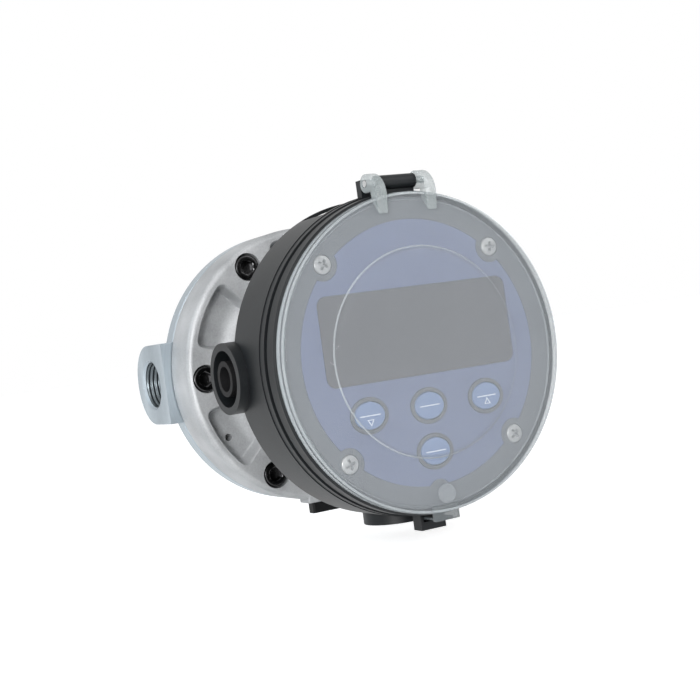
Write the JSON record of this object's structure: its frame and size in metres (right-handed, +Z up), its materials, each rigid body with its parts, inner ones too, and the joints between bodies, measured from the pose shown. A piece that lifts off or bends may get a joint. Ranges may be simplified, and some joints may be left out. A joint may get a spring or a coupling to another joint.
{
  "type": "oval gear flow meter",
  "caption": "Oval gear flow meter: round aluminium body with threaded pipe ports, cast cover, neck and round display housing with keys under a clear flip-up cover.",
  "frame": {"origin": "centre of the meter body's flat rear face", "axes": "+Z up, the pipe runs along X from the inlet at -X to the outlet at +X, and the display faces -Y"},
  "size_m": [0.1219, 0.1425, 0.1298],
  "materials": {
    "machined_aluminium": "fine turned",
    "cast_aluminium": "die cast, lightly blasted",
    "black_oxide_steel": "black oxide",
    "zinc_steel": "bright zinc",
    "ground_steel": "ground",
    "gear_steel": "machined stainless",
    "carbon_bush": "filled polymer",
    "magnet_nickel": "nickel plated",
    "seal_rubber": "smooth",
    "gasket_sheet": "pressed fibre rubber",
    "cap_plastic": "satin moulded",
    "housing_plastic": "satin moulded",
    "neck_plastic": "satin moulded",
    "grommet_rubber": "moulded",
    "clear_plastic": "clear moulded",
    "fascia_plastic": "satin moulded",
    "label_film": "printed film",
    "window_plastic": "tinted clear",
    "display_glass": "dark liquid crystal",
    "key_blue": "satin moulded",
    "board_green": "coated laminate",
    "chip_black": "moulded",
    "wire_grey": "jacketed",
    "tray_black": "moulded",
    "cell_steel": "sleeved can",
    "terminal_grey": "moulded"
  },
  "bodies": {
    "meter": {"meter_body": "machined_aluminium", "meter_cover": "cast_aluminium", "cover_screws": "black_oxide_steel", "entry_cap": "cap_plastic", "display_neck": "neck_plastic", "boss_gasket": "gasket_sheet", "neck_gasket": "gasket_sheet", "neck_screws": "zinc_steel", "housing_screws": "zinc_steel", "display_housing": "housing_plastic", "left_grommet": "grommet_rubber", "bottom_grommet": "grommet_rubber", "fascia_seal": "seal_rubber", "fascia_plate": "fascia_plastic", "label_panel": "label_film", "lcd_window": "window_plastic", "lcd_module": "display_glass", "main_board": "board_green", "key_switches": "chip_black", "fascia_screws": "zinc_steel", "battery_tray": "tray_black", "battery_cells": "cell_steel", "terminal_block": "terminal_grey", "hinge_pin": "ground_steel", "body_o_ring": "seal_rubber", "upper_shaft": "ground_steel", "lower_shaft": "ground_steel", "sensor_board": "board_green", "hall_sensors": "chip_black", "sensor_lead": "wire_grey"},
    "upper_rotor": {"upper_gear": "gear_steel", "upper_bush": "carbon_bush", "gear_magnets": "magnet_nickel"},
    "lower_rotor": {"lower_gear": "gear_steel", "lower_bush": "carbon_bush"},
    "weather_cover": {"weather_cover": "clear_plastic"},
    "key_left": {"key_left": "key_blue"},
    "key_middle": {"key_middle": "key_blue"},
    "key_right": {"key_right": "key_blue"},
    "key_bottom": {"key_bottom": "key_blue"}
  },
  "joints": [
    {"name": "upper_gear_spin", "type": "hinge", "parent": "meter", "child": "upper_rotor", "pos_m": [0, -0.0227, 0.016], "axis": [0, 1, 0], "range_deg": [-12, 12]},
    {"name": "lower_gear_spin", "type": "hinge", "parent": "meter", "child": "lower_rotor", "pos_m": [0, -0.0227, -0.016], "axis": [0, 1, 0], "range_deg": [-18, 18]},
    {"name": "cover_hinge", "type": "hinge", "parent": "meter", "child": "weather_cover", "pos_m": [0, -0.1335, 0.062], "axis": [-1, 0, 0], "range_deg": [0, 150]},
    {"name": "key_left_press", "type": "slide", "parent": "meter", "child": "key_left", "axis": [0, 1, 0], "range_m": [0, 0.0008], "stiffness_N_per_m": 1500, "springref_m": -0.0005},
    {"name": "key_middle_press", "type": "slide", "parent": "meter", "child": "key_middle", "axis": [0, 1, 0], "range_m": [0, 0.0008], "stiffness_N_per_m": 1500, "springref_m": -0.0005},
    {"name": "key_right_press", "type": "slide", "parent": "meter", "child": "key_right", "axis": [0, 1, 0], "range_m": [0, 0.0008], "stiffness_N_per_m": 1500, "springref_m": -0.0005},
    {"name": "key_bottom_press", "type": "slide", "parent": "meter", "child": "key_bottom", "axis": [0, 1, 0], "range_m": [0, 0.0008], "stiffness_N_per_m": 1500, "springref_m": -0.0005}
  ],
  "couplings": [
    {"joint": "lower_gear_spin", "follows": "upper_gear_spin", "ratio": -1.5}
  ]
}
